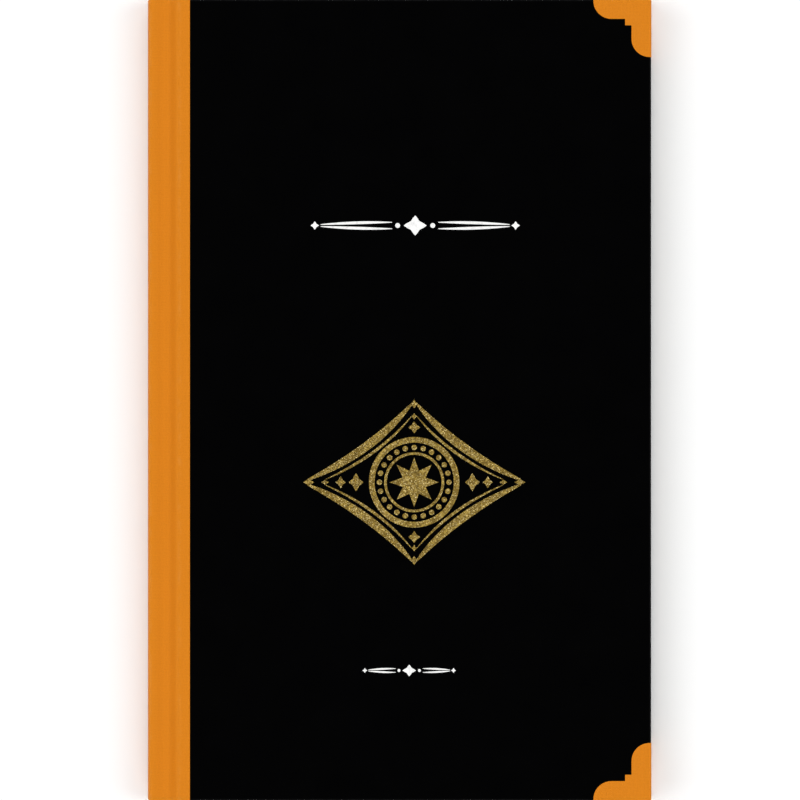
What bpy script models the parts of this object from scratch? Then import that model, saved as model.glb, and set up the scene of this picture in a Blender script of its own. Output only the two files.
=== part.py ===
# A slim case-bound book lying on its back cover: two covered boards, a flat spine,
# flexible joints between them, a block of leaves and two headbands.
# +Z is up through the front cover, +Y is the head of the book, and the spine is at -X.
# The origin is on the table, under the middle of the closed book.

from math import cos, pi, sin, tau

import bmesh
import bpy
from mathutils import Matrix, Vector

MM = 0.001

# Driving sizes of the whole book.
COVER_HEIGHT = 240.0 * MM
COVER_WIDTH = 151.0 * MM
BOOK_THICKNESS = 12.6 * MM

# Boards, spine and the squares, which are the rims that the boards keep round the leaves.
BOARD_THICKNESS = 2.5 * MM
BOARD_ROUNDING = 0.6 * MM
SQUARE = 3.1 * MM
SPINE_THICKNESS = 2.4 * MM
SPINE_STEP = 1.4 * MM  # how much lower than the cover the spine's long edges lie
SPINE_BULGE = 0.5 * MM
SPINE_ROUNDING = 0.35 * MM
SPINE_ARC_STEPS = 10

# The joint: covering cloth that dips into a groove between the spine and a board.
CLOTH_THICKNESS = 0.5 * MM
CLOTH_REACH = 12.9 * MM  # from the back of the spine to the cloth's edge on the board
GROOVE_FLOOR_DROP = 1.9 * MM
GROOVE_DROP_END = 5.0 * MM
GROOVE_RISE_START = 6.3 * MM
GROOVE_RISE_END = 9.6 * MM
GROOVE_STEPS = 14
BOARD_START = 10.2 * MM

# Leaves and headbands.
LEAVES_START = 2.9 * MM
LEAVES_GAP = 0.3 * MM
LEAVES_ROUNDING = 0.25 * MM
HEADBAND_RADIUS = 0.8 * MM
HEADBAND_SIDES = 20
HEADBAND_FROM_SPINE = 4.0 * MM

# Corner pieces: two round lobes along the edges that meet in a square notch.
CORNER_REACH = 17.4 * MM
CORNER_LOBE = 6.05 * MM
CORNER_NOTCH = 7.9 * MM
CORNER_RADIUS = 5.4 * MM
CORNER_THICKNESS = 1.0 * MM
CORNER_ARC_STEPS = 10

FIT_GAP = 0.3 * MM  # between pieces that touch
CUTTER_MARGIN = 2.0 * MM

SPINE_X = -COVER_WIDTH / 2
FORE_EDGE_X = COVER_WIDTH / 2
HEAD_Y = COVER_HEIGHT / 2
FRONT_INNER_Z = BOOK_THICKNESS - BOARD_THICKNESS

# Each cover turns about a line beside the spine's long edge. The line is a little more than
# half a board below the cover's face, so a cover that is opened flat keeps off the table.
HINGE_X = SPINE_X + SPINE_THICKNESS + 0.2 * MM
HINGE_DEPTH = BOARD_THICKNESS / 2 + 0.05 * MM

COLOURS = {
    "cover_paper": ((0.006, 0.006, 0.007), 0.42),
    "spine_cloth": ((0.72, 0.22, 0.013), 0.48),
    "leaf_paper": ((0.80, 0.74, 0.62), 0.85),
    "headband_cloth": ((0.70, 0.62, 0.50), 0.75),
}


def clear_scene():
    for old in list(bpy.data.objects):
        bpy.data.objects.remove(old)


def make_material(name):
    colour, roughness = COLOURS[name]
    material = bpy.data.materials.new(name)
    material.use_nodes = True
    shader = material.node_tree.nodes["Principled BSDF"]
    shader.inputs["Base Color"].default_value = (*colour, 1.0)
    shader.inputs["Roughness"].default_value = roughness
    shader.inputs["Metallic"].default_value = 0.0
    return material


def add_object(name, mesh, collection, material=None):
    obj = bpy.data.objects.new(name, mesh)
    collection.objects.link(obj)
    if material:
        mesh.materials.append(material)
    return obj


def add_box(name, low, high, collection, material=None):
    """A box between two opposite corners."""
    low, high = Vector(low), Vector(high)
    mesh = bpy.data.meshes.new(name)
    shape = bmesh.new()
    size = Matrix.Diagonal((*(high - low), 1.0))
    bmesh.ops.create_cube(shape, size=1.0, matrix=size)
    shape.to_mesh(mesh)
    shape.free()
    box = add_object(name, mesh, collection, material)
    box.location = (low + high) / 2
    return box


def add_bevel(obj, width, segments, angle=0.5):
    bevel = obj.modifiers.new("rounded_edges", "BEVEL")
    bevel.width = width
    bevel.segments = segments
    bevel.limit_method = "ANGLE"
    bevel.angle_limit = angle
    return bevel


def add_boolean(obj, other, operation):
    boolean = obj.modifiers.new(operation.lower(), "BOOLEAN")
    boolean.operation = operation
    boolean.object = other
    boolean.solver = "EXACT"
    return boolean


def add_outline_solid(name, points, half_depth, collection, material=None, section=False):
    """A closed outline given thickness both ways. A section is drawn in X and Z and runs along Y."""
    curve = bpy.data.curves.new(name, "CURVE")
    curve.dimensions = "2D"
    curve.fill_mode = "BOTH"
    curve.extrude = half_depth
    spline = curve.splines.new("POLY")
    spline.points.add(len(points) - 1)
    for point, (across, up) in zip(spline.points, points):
        point.co = (across, up, 0.0, 1.0)
    spline.use_cyclic_u = True
    guide = add_object(name + "_outline", curve, collection)
    graph = bpy.context.evaluated_depsgraph_get()
    mesh = bpy.data.meshes.new_from_object(guide.evaluated_get(graph))
    bpy.data.objects.remove(guide)
    if section:
        mesh.transform(Matrix.Rotation(pi / 2, 4, "X"))
    shape = bmesh.new()
    shape.from_mesh(mesh)
    bmesh.ops.remove_doubles(shape, verts=shape.verts, dist=0.001 * MM)
    bmesh.ops.recalc_face_normals(shape, faces=shape.faces)
    shape.to_mesh(mesh)
    shape.free()
    mesh.name = name
    return add_object(name, mesh, collection, material)


def make_cutter(obj):
    obj.hide_render = True
    obj.display_type = "WIRE"
    return obj


def shade_rounded(obj):
    obj.data.shade_smooth()
    obj.data.set_sharp_from_angle(angle=0.6)


def blend_step(share):
    """A smooth change from 0 to 1 along a half wave."""
    share = min(1.0, max(0.0, share))
    return (1 - cos(pi * share)) / 2


def joint_surface_height(from_spine):
    """The outer face of the front joint: from the spine's edge into the groove, then up onto the board."""
    ridge = BOOK_THICKNESS - SPINE_STEP
    floor = BOOK_THICKNESS - GROOVE_FLOOR_DROP
    drop = blend_step((from_spine - SPINE_THICKNESS) / (GROOVE_DROP_END - SPINE_THICKNESS))
    rise = blend_step((from_spine - GROOVE_RISE_START) / (GROOVE_RISE_END - GROOVE_RISE_START))
    return ridge + (floor - ridge) * drop + (BOOK_THICKNESS - floor) * rise


def joint_section():
    """Outline of the front joint's cloth: its outer face, and its inner face one thickness below it."""
    start = SPINE_THICKNESS + FIT_GAP
    stations = [
        start + (GROOVE_RISE_END - start) * step / GROOVE_STEPS
        for step in range(GROOVE_STEPS + 1)
    ]
    stations.append(CLOTH_REACH)
    outer, inner = [], []
    nudge = 0.01 * MM
    for station in stations:
        height = joint_surface_height(station)
        slope = (joint_surface_height(station + nudge) - joint_surface_height(station - nudge)) / (2 * nudge)
        normal = Vector((-slope, 1.0)).normalized()
        outer.append((SPINE_X + station, height))
        inner.append((SPINE_X + station - normal.x * CLOTH_THICKNESS, height - normal.y * CLOTH_THICKNESS))
    return outer + inner[::-1]


def spine_section():
    """Outline of the spine: flat towards the leaves, and bowed out a little along an arc of a wave."""
    low, high = SPINE_STEP, BOOK_THICKNESS - SPINE_STEP
    bowed = []
    for step in range(SPINE_ARC_STEPS + 1):
        share = step / SPINE_ARC_STEPS
        bowed.append((SPINE_X + SPINE_BULGE * (1 - sin(pi * share)), low + (high - low) * share))
    inner_x = SPINE_X + SPINE_THICKNESS
    return bowed + [(inner_x, high), (inner_x, low)]


def corner_outline(grow, side):
    """Outline of a corner piece at the fore-edge, with side +1 for the head and -1 for the tail.

    grow makes it larger all round, for the pocket that it lies in.
    """
    reach = CORNER_REACH + grow
    lobe = CORNER_LOBE + grow
    notch = CORNER_NOTCH + grow
    centre_along, centre_across = CORNER_REACH - CORNER_RADIUS, CORNER_LOBE - CORNER_RADIUS
    radius = CORNER_RADIUS + grow
    arc = [
        (
            centre_along + radius * cos(tau / 4 * step / CORNER_ARC_STEPS),
            centre_across + radius * sin(tau / 4 * step / CORNER_ARC_STEPS),
        )
        for step in range(CORNER_ARC_STEPS + 1)
    ]
    first_lobe = [(reach, -CUTTER_MARGIN), *arc, (notch, lobe), (notch, notch)]
    second_lobe = [(across, along) for along, across in reversed(first_lobe[:-1])]
    beyond = [(-CUTTER_MARGIN, -CUTTER_MARGIN)]
    return [
        (FORE_EDGE_X - from_fore_edge, side * (HEAD_Y - from_end))
        for from_fore_edge, from_end in first_lobe + second_lobe + beyond
    ]


def flip_to_back(obj):
    """Moves a piece of the front cover to the same place on the back cover."""
    half_turn = Matrix.Rotation(pi, 4, "X")
    obj.data.transform(obj.matrix_basis)
    obj.data.transform(Matrix.Translation((0, 0, -BOOK_THICKNESS / 2)))
    obj.data.transform(half_turn)
    obj.data.transform(Matrix.Translation((0, 0, BOOK_THICKNESS / 2)))
    obj.matrix_basis = Matrix.Identity(4)


def covered_board(name, collection, material):
    """The front board with the rounded edges that its covering gives it."""
    board = add_box(
        name,
        (SPINE_X + BOARD_START, -HEAD_Y, FRONT_INNER_Z),
        (FORE_EDGE_X, HEAD_Y, BOOK_THICKNESS),
        collection,
        material,
    )
    add_bevel(board, BOARD_ROUNDING, 3)
    return board


def corner_prism(name, side, grow, thickness, collection):
    """A block of the corner piece's outline that reaches down from above the front cover."""
    top = BOOK_THICKNESS + CUTTER_MARGIN
    bottom = BOOK_THICKNESS - thickness
    prism = add_outline_solid(name, corner_outline(grow, side), (top - bottom) / 2, collection)
    prism.data.transform(Matrix.Translation((0, 0, (top + bottom) / 2)))
    return make_cutter(prism)


def make_cover(prefix, is_back, parts, cutters, materials):
    """One cover: its board, two corner pieces let into it, and the cloth of its joint."""
    hinge = bpy.data.objects.new(prefix + "_hinge", None)
    parts.objects.link(hinge)
    hinge_z = HINGE_DEPTH if is_back else BOOK_THICKNESS - HINGE_DEPTH
    hinge.location = (HINGE_X, 0, hinge_z)

    board = covered_board(prefix + "_board", parts, materials["cover_paper"])
    cloth_bed = make_cutter(
        add_box(
            prefix + "_cloth_bed",
            (
                SPINE_X + BOARD_START - CUTTER_MARGIN,
                -HEAD_Y - CUTTER_MARGIN,
                BOOK_THICKNESS - CLOTH_THICKNESS - FIT_GAP,
            ),
            (SPINE_X + CLOTH_REACH + FIT_GAP, HEAD_Y + CUTTER_MARGIN, BOOK_THICKNESS + CUTTER_MARGIN),
            cutters,
        )
    )
    made, tools = [board], [cloth_bed]
    add_boolean(board, cloth_bed, "DIFFERENCE")
    for end, side in (("head", 1), ("tail", -1)):
        pocket_depth = CORNER_THICKNESS + FIT_GAP
        pocket = corner_prism(f"{prefix}_pocket_{end}", side, FIT_GAP, pocket_depth, cutters)
        shape = corner_prism(f"{prefix}_corner_shape_{end}", side, 0.0, CORNER_THICKNESS, cutters)
        add_boolean(board, pocket, "DIFFERENCE")
        corner = covered_board(f"{prefix}_corner_{end}", parts, materials["spine_cloth"])
        add_boolean(corner, shape, "INTERSECT")
        made.append(corner)
        tools += [pocket, shape]

    cloth = add_outline_solid(
        prefix + "_joint",
        joint_section(),
        HEAD_Y - FIT_GAP,
        parts,
        materials["spine_cloth"],
        section=True,
    )
    made.append(cloth)
    for piece in made + tools:
        if is_back:
            flip_to_back(piece)
    for piece in made:
        shade_rounded(piece)
        piece.parent = hinge
        piece.matrix_parent_inverse = Matrix.Translation(-hinge.location)


def make_spine(parts, materials):
    spine = add_outline_solid(
        "spine", spine_section(), HEAD_Y, parts, materials["spine_cloth"], section=True
    )
    add_bevel(spine, SPINE_ROUNDING, 2, angle=1.0)
    shade_rounded(spine)


def make_leaves(parts, materials):
    leaves = add_box(
        "text_block",
        (SPINE_X + LEAVES_START, SQUARE - HEAD_Y, BOARD_THICKNESS + LEAVES_GAP),
        (FORE_EDGE_X - SQUARE, HEAD_Y - SQUARE, FRONT_INNER_Z - LEAVES_GAP),
        parts,
        materials["leaf_paper"],
    )
    add_bevel(leaves, LEAVES_ROUNDING, 2)


def make_headband(end, side, parts, materials):
    """The woven bead that stands on the spine end of the leaves."""
    length = FRONT_INNER_Z - BOARD_THICKNESS - 2 * FIT_GAP
    mesh = bpy.data.meshes.new("headband_" + end)
    shape = bmesh.new()
    bmesh.ops.create_cone(
        shape,
        cap_ends=True,
        segments=HEADBAND_SIDES,
        radius1=HEADBAND_RADIUS,
        radius2=HEADBAND_RADIUS,
        depth=length,
    )
    shape.to_mesh(mesh)
    shape.free()
    bead = add_object("headband_" + end, mesh, parts, materials["headband_cloth"])
    from_middle = HEAD_Y - SQUARE + FIT_GAP + HEADBAND_RADIUS
    bead.location = (SPINE_X + HEADBAND_FROM_SPINE, side * from_middle, BOOK_THICKNESS / 2)
    shade_rounded(bead)


def main():
    clear_scene()
    parts = bpy.data.collections.new("hardcover_book")
    cutters = bpy.data.collections.new("cutters")
    bpy.context.scene.collection.children.link(parts)
    bpy.context.scene.collection.children.link(cutters)
    materials = {name: make_material(name) for name in COLOURS}
    make_leaves(parts, materials)
    make_spine(parts, materials)
    make_headband("head", 1, parts, materials)
    make_headband("tail", -1, parts, materials)
    make_cover("front", False, parts, cutters, materials)
    make_cover("back", True, parts, cutters, materials)


main()
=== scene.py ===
import bmesh
import bpy
import numpy as np
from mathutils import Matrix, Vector


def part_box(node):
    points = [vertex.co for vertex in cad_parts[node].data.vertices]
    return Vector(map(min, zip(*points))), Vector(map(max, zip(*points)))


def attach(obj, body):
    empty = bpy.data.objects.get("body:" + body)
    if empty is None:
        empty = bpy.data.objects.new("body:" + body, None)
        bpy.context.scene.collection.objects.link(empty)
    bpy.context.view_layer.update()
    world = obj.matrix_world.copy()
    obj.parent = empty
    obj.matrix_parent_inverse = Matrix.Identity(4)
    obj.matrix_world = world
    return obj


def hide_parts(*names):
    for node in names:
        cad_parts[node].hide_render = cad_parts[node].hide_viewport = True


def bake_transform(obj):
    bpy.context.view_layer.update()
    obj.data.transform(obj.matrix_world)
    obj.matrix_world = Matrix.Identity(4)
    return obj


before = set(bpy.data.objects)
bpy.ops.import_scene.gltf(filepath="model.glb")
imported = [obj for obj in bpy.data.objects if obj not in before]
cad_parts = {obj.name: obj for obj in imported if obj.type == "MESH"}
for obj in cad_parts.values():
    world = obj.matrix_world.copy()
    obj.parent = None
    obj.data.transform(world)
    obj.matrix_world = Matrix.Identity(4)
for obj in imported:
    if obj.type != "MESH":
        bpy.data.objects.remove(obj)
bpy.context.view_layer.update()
print("frame loaded")

# Shapes are worked out in millimetres in the frame's axes, and become metres as their mesh is made.
mm = 0.001


def boxOf(node):
    low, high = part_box(node)
    return np.array(low) / mm, np.array(high) / mm


spineLow, spineHigh = boxOf("spine")
boardLow, boardHigh = boxOf("front_board")
jointLow, jointHigh = boxOf("front_joint")
blockLow, blockHigh = boxOf("text_block")
bookTop = boardHigh[2]
spineX = spineLow[0]  # the back of the spine, from which places across the book are measured
spineDepth = spineHigh[0] - spineX


# Node helpers

def feed(tree, target, value):
    # A socket takes either another socket or a plain value.
    if isinstance(value, bpy.types.NodeSocket):
        tree.links.new(value, target)
    else:
        target.default_value = value


def addNode(tree, kind, inputs=(), **settings):
    # Inputs are pairs of a socket's name or number and what it takes.
    node = tree.nodes.new(kind)
    for setting, value in settings.items():
        setattr(node, setting, value)
    for title, value in dict(inputs).items():
        feed(tree, node.inputs[title], value)
    return node


def maths(tree, operation, *values):
    return addNode(tree, "ShaderNodeMath", enumerate(values), operation=operation).outputs[0]


def vectorMaths(tree, operation, *values):
    node = addNode(tree, "ShaderNodeVectorMath", enumerate(values), operation=operation)
    return node.outputs["Value" if operation == "DOT_PRODUCT" else "Vector"]


def weighted(tree, *parts):
    # The sum of values, each times its own share.
    total = 0.0
    for value, share in parts:
        total = maths(tree, "MULTIPLY_ADD", value, share, total)
    return total


def rescale(tree, value, low, high, newLow=0.0, newHigh=1.0):
    inputs = {"Value": value, "From Min": low, "From Max": high, "To Min": newLow, "To Max": newHigh}
    return addNode(tree, "ShaderNodeMapRange", inputs).outputs["Result"]


def opaque(colour):
    return (*colour, 1.0)


def mixColour(tree, share, first, second):
    first, second = (opaque(value) if isinstance(value, tuple) else value for value in (first, second))
    inputs = {"Factor": share, "A": first, "B": second}
    return addNode(tree, "ShaderNodeMix", inputs, data_type="RGBA").outputs["Result"]


def objectPlace(tree):
    return addNode(tree, "ShaderNodeTexCoord").outputs["Object"]


def attributeOf(tree, name, output="Fac"):
    return addNode(tree, "ShaderNodeAttribute", attribute_name=name).outputs[output]


def splitAxes(tree, place):
    return addNode(tree, "ShaderNodeSeparateXYZ", {"Vector": place}).outputs


def stretched(tree, place, scale):
    return addNode(tree, "ShaderNodeMapping", {"Vector": place, "Scale": scale}).outputs["Vector"]


def noise(tree, place, scale, detail=2.0, roughness=0.5):
    inputs = {"Vector": place, "Scale": scale, "Detail": detail, "Roughness": roughness}
    return addNode(tree, "ShaderNodeTexNoise", inputs).outputs["Fac"]


def newGroup(name, s, inputs, outputs):
    # A group of nodes whose inputs and outputs are all numbers. Each input takes the setting of its name.
    group = bpy.data.node_groups.new(name, "ShaderNodeTree")
    for title in inputs:
        socket = group.interface.new_socket(title, in_out="INPUT", socket_type="NodeSocketFloat")
        socket.default_value = s[title.lower()]
    for title in outputs:
        group.interface.new_socket(title, in_out="OUTPUT", socket_type="NodeSocketFloat")
    return group, group.nodes.new("NodeGroupInput").outputs, group.nodes.new("NodeGroupOutput").inputs


def placeGroup(tree, group, s):
    node = addNode(tree, "ShaderNodeGroup", node_tree=group)
    for socket in node.inputs:
        socket.default_value = s[socket.name.lower()]
    return node.outputs


# Shared effects

grainSettings = {
    "mottle": 150.0,
    "mottleDetail": 3.0,
    "grain": 2500.0,
    "fibreStretch": 0.18,  # noise is squeezed to this share along a fibre, which draws it out
    "grainShare": 0.6,
    "fibreShare": 0.4,
}


def makeGrain(s):
    # A soft mottle a few millimetres wide, and a fine grain with short fibres that lie both ways.
    group, given, result = newGroup("surfaceGrain", s, ["Mottle", "Grain"], ["Mottle", "Height"])
    place = objectPlace(group)
    grain = noise(group, place, given["Grain"])
    strands = []
    for scale in ((s["fibreStretch"], 1.0, 1.0), (1.0, s["fibreStretch"], 1.0)):
        strands.append(noise(group, stretched(group, place, scale), given["Grain"], detail=1.0))
    fibres = maths(group, "MAXIMUM", *strands)
    feed(group, result["Mottle"], noise(group, place, given["Mottle"], s["mottleDetail"]))
    feed(group, result["Height"], weighted(group, (grain, s["grainShare"]), (fibres, s["fibreShare"])))
    return group


weaveSettings = {
    "pitch": 0.45,  # millimetres from thread to thread
    "wander": 0.5,  # millimetres that the threads stray by
    "wanderScale": 0.6,
    "below": 0.5,  # height of a thread where it passes under another
    "threadShare": 0.5,  # share of the thread's height in the painted shade of the weave's hollows
    "slubShare": 0.5,
    "slubScale": 2.2,
}


def makeWeave(s):
    # Plain weave over the sheet's own measure in millimetres: each thread is the arch of a sine across it,
    # and a chequer of the two thread numbers says which of the two lies on top.
    group, given, result = newGroup("threadWeave", s, ["Pitch"], ["Height", "PaintedShadeAndSlub"])
    sheet = attributeOf(group, "sheet", "Vector")
    wobble = noise(group, sheet, s["wanderScale"])
    place = splitAxes(group, sheet)
    counts, arches = [], []
    for axis in ("X", "Y"):
        strayed = maths(group, "MULTIPLY_ADD", wobble, s["wander"], place[axis])
        count = maths(group, "DIVIDE", strayed, given["Pitch"])
        wave = maths(group, "SINE", maths(group, "MULTIPLY", count, np.pi))
        counts.append(maths(group, "FLOOR", count))
        arches.append(maths(group, "ABSOLUTE", wave))
    chequer = maths(group, "FLOORED_MODULO", maths(group, "ADD", *counts), 2.0)
    across = maths(group, "MULTIPLY", arches[0], rescale(group, chequer, 0.0, 1.0, s["below"], 1.0))
    along = maths(group, "MULTIPLY", arches[1], rescale(group, chequer, 0.0, 1.0, 1.0, s["below"]))
    height, slub = maths(group, "MAXIMUM", across, along), noise(group, sheet, s["slubScale"])
    feed(group, result["Height"], height)
    # Painted shade: this output is low where the threads lie low, in the weave's hollows, and the slub noise
    # adds the thread's own tone.
    feed(group, result["PaintedShadeAndSlub"], weighted(group, (height, s["threadShare"]), (slub, s["slubShare"])))
    return group


rubSettings = {
    "rub": 0.3,
    "scale": 420.0,
    "detail": 5.0,
    "roughness": 0.65,
    "patches": (0.45, 0.75),  # the noise from which a patch starts, and at which it is full
}


def makeEdgeRub(s):
    # Handling rubs the rounded edges: the piece's rub attribute is 1 there, and noise breaks it up.
    group, given, result = newGroup("edgeRub", s, ["Rub"], ["Mask"])
    spots = noise(group, objectPlace(group), s["scale"], s["detail"], s["roughness"])
    mask = maths(group, "MULTIPLY", attributeOf(group, "rub"), rescale(group, spots, *s["patches"]))
    feed(group, result["Mask"], maths(group, "MULTIPLY", mask, given["Rub"]))
    return group


flakeSettings = {
    "flakes": 1900.0,
    "dust": 5200.0,
    "clouds": 260.0,
    "cloudDetail": 3.0,
    "shares": (0.3, 0.45, 0.35),  # of the dust, the flakes and the clouds in the tint
    "paintedGlints": (0.86, 0.95),  # the random numbers from which a dust cell starts to get its painted glint, and at which it is full
}


def flakeLayer(group, place, scale):
    # A mosaic of cells: each one's own random colour, and the height of a plane that leans by that colour.
    cells = addNode(group, "ShaderNodeTexVoronoi", {"Vector": place, "Scale": scale})
    offset = vectorMaths(group, "SUBTRACT", place, cells.outputs["Position"])
    lean = vectorMaths(group, "SUBTRACT", cells.outputs["Color"], (0.5, 0.5, 0.5))
    channels = addNode(group, "ShaderNodeSeparateColor", {"Color": cells.outputs["Color"]}).outputs
    return channels["Green"], channels["Blue"], vectorMaths(group, "DOT_PRODUCT", offset, lean)


def makeFlakes(s):
    # Flakes over finer dust, each with its own tint and tilt. A few cells of the dust get a painted glint: a
    # bright colour that stands in for light caught by a flake.
    group, given, result = newGroup("foilFlakes", s, ["Flakes", "Dust"], ["Tint", "Spark", "Height"])
    place = objectPlace(group)
    flakeTint, flakeTilt = flakeLayer(group, place, given["Flakes"])[1:]
    dustPick, dustTint, dustTilt = flakeLayer(group, place, given["Dust"])
    clouds = noise(group, place, s["clouds"], s["cloudDetail"])
    feed(group, result["Tint"], weighted(group, *zip((dustTint, flakeTint, clouds), s["shares"])))
    feed(group, result["Spark"], rescale(group, dustPick, *s["paintedGlints"]))
    height = maths(group, "MULTIPLY", maths(group, "ADD", flakeTilt, dustTilt), 1 / mm)
    feed(group, result["Height"], height)
    return group


surfaceGrain = makeGrain(grainSettings)
threadWeave = makeWeave(weaveSettings)
edgeRub = makeEdgeRub(rubSettings)
foilFlakes = makeFlakes(flakeSettings)


# Materials: lengths in their settings are millimetres, and scales are those of a texture

def makeMaterial(name, s, finish=None):
    # A finish works out what changes over the surface: its colour, the height of its relief, and for some
    # its roughness too.
    material = bpy.data.materials.new(name)
    material.use_nodes = True
    tree = material.node_tree
    surface = tree.nodes["Principled BSDF"].inputs
    surface["Base Color"].default_value = opaque(s["colour"])
    surface["Roughness"].default_value = s["roughness"]
    surface["Specular IOR Level"].default_value = s["gloss"]
    surface["Metallic"].default_value = s.get("metal", 0.0)
    if finish:
        colour, height, *roughness = finish(tree, s)
        relief = {"Strength": 1.0, "Distance": s["depth"] * mm, "Height": height}
        bump = addNode(tree, "ShaderNodeBump", relief).outputs["Normal"]
        for title, value in zip(("Base Color", "Normal", "Roughness"), (colour, bump, *roughness)):
            feed(tree, surface[title], value)
    return material


def rubbed(tree, s, colour):
    return mixColour(tree, placeGroup(tree, edgeRub, s)["Mask"], colour, s["rubbed"])


coverPaperSettings = {
    "colour": (0.0004, 0.0004, 0.0005),
    "worn": (0.0007, 0.0007, 0.0008),
    "rubbed": (0.030, 0.029, 0.028),
    "rub": 0.35,
    "roughness": 0.31,
    "dull": 0.34,  # the roughness at the mottle's other end
    "mottleRange": (0.3, 0.7),
    "gloss": 0.02,
    "mottle": 90.0,
    "grain": 2600.0,
    "depth": 0.012,
}


def coverPaperFinish(tree, s):
    grain = placeGroup(tree, surfaceGrain, s)
    plain = mixColour(tree, grain["Mottle"], s["colour"], s["worn"])
    dull = rescale(tree, grain["Mottle"], *s["mottleRange"], s["roughness"], s["dull"])
    return rubbed(tree, s, plain), grain["Height"], dull


clothSettings = {
    "colour": (0.685, 0.213, 0.0055),
    # a darker orange: painted shade in the weave's hollows, and the slubs' own tone
    "hollowShadeAndSlub": (0.57, 0.170, 0.0040),
    "shadeRange": (0.2, 0.75),
    "rubbed": (0.78, 0.40, 0.12),
    "rub": 0.15,
    "roughness": 0.55,
    "gloss": 0.12,
    "pitch": 0.42,
    "depth": 0.05,
}


def clothFinish(tree, s):
    weave = placeGroup(tree, threadWeave, s)
    # Painted shade: the cloth goes to the darker orange where its threads lie low, in the weave's hollows;
    # the slub part is the thread's own tone.
    woven = mixColour(tree, rescale(tree, weave["PaintedShadeAndSlub"], *s["shadeRange"]), s["hollowShadeAndSlub"], s["colour"])
    return rubbed(tree, s, woven), weave["Height"]


leafPaperSettings = {
    "colour": (0.84, 0.785, 0.66),
    "shaded": (0.64, 0.575, 0.45),
    "tintRange": (0.25, 0.72),
    "leafThickness": 0.1,
    "leafShare": 0.35,  # of each leaf's own tint
    "streakShare": 0.65,
    "streakScale": (12.0, 12.0, 900.0),
    "streakDetail": 4.0,
    "streakRoughness": 0.6,
    "roughness": 0.85,
    "gloss": 0.2,
    "depth": 0.02,
}


def leafPaperFinish(tree, s):
    # Each leaf has its own tint, by its number up the block, with longer streaks along the edges.
    place = objectPlace(tree)
    count = maths(tree, "DIVIDE", splitAxes(tree, place)["Z"], s["leafThickness"] * mm)
    number = maths(tree, "FLOOR", count)
    ownTint = addNode(tree, "ShaderNodeTexWhiteNoise", noise_dimensions="1D")
    feed(tree, ownTint.inputs["W"], number)
    drawnOut = stretched(tree, place, s["streakScale"])
    streaks = noise(tree, drawnOut, 1.0, s["streakDetail"], s["streakRoughness"])
    tint = weighted(tree, (streaks, s["streakShare"]), (ownTint.outputs["Value"], s["leafShare"]))
    return mixColour(tree, rescale(tree, tint, *s["tintRange"]), s["shaded"], s["colour"]), streaks


headbandSettings = {
    "colour": (0.74, 0.67, 0.54),
    "second": (0.58, 0.15, 0.012),
    "shadow": (0.08, 0.05, 0.03),
    "shadowShare": 0.35,
    "stripeRange": (-0.12, 0.12),
    "fibreRange": (0.3, 0.7),
    "fibre": 5200.0,
    "roughness": 0.7,
    "gloss": 0.3,
    "depth": 0.03,
}


def headbandFinish(tree, s):
    # The stripe attribute swings between -1 and 1 from one colour's turns to the other's.
    fibre = noise(tree, objectPlace(tree), s["fibre"])
    stripe = rescale(tree, attributeOf(tree, "stripe"), *s["stripeRange"])
    shadow = rescale(tree, fibre, *s["fibreRange"], s["shadowShare"], 0.0)
    return mixColour(tree, shadow, mixColour(tree, stripe, s["colour"], s["second"]), s["shadow"]), fibre


foilSettings = {
    "dark": (0.13, 0.080, 0.005),
    "colour": (0.245, 0.153, 0.016),
    "bright": (0.52, 0.36, 0.065),
    # painted glint: the bright colour of the few dust cells that stand in for flakes catching the light
    "spark": (0.85, 0.68, 0.30),
    "stops": {"dark": 0.22, "colour": 0.60, "bright": 0.88},  # the tints of the first three
    "tintRange": (0.2, 0.9),
    "roughness": 0.5,
    "smooth": 0.3,  # the roughness of the brightest flakes
    "gloss": 0.5,
    "metal": 0.5,
    "flakes": 1900.0,
    "dust": 5200.0,
    "depth": 0.7,
}


def foilFinish(tree, s):
    flakes = placeGroup(tree, foilFlakes, s)
    ramp = addNode(tree, "ShaderNodeValToRGB", {"Fac": flakes["Tint"]})
    stops = ramp.color_ramp.elements
    stops.new(s["stops"]["colour"])
    for stop, (tone, tint) in zip(stops, s["stops"].items()):
        stop.position = tint
        stop.color = opaque(s[tone])
    # Painted glint: a few dust cells turn to the bright glint colour.
    colour = mixColour(tree, flakes["Spark"], ramp.outputs["Color"], s["spark"])
    roughness = rescale(tree, flakes["Tint"], *s["tintRange"], s["roughness"], s["smooth"])
    return colour, flakes["Height"], roughness


endpaperSettings = {
    "colour": (0.73, 0.69, 0.60),
    "mottled": (0.69, 0.648, 0.55),
    "mottleRange": (0.35, 0.65),
    "roughness": 0.82,
    "gloss": 0.22,
    "mottle": 240.0,
    "grain": 1700.0,
    "depth": 0.02,
}

printSettings = {
    "colour": (0.88, 0.88, 0.87),
    "mottled": (0.70, 0.70, 0.70),
    "mottleRange": (0.25, 0.5),
    "roughness": 0.55,
    "gloss": 0.3,
    "mottle": 900.0,
    "grain": 4000.0,
    "depth": 0.01,
}


def mottledFinish(tree, s):
    # Plain paper, or a film of ink, that goes over to a second colour where its mottle is low.
    grain = placeGroup(tree, surfaceGrain, s)
    share = rescale(tree, grain["Mottle"], *s["mottleRange"])
    return mixColour(tree, share, s["mottled"], s["colour"]), grain["Height"]


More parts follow.
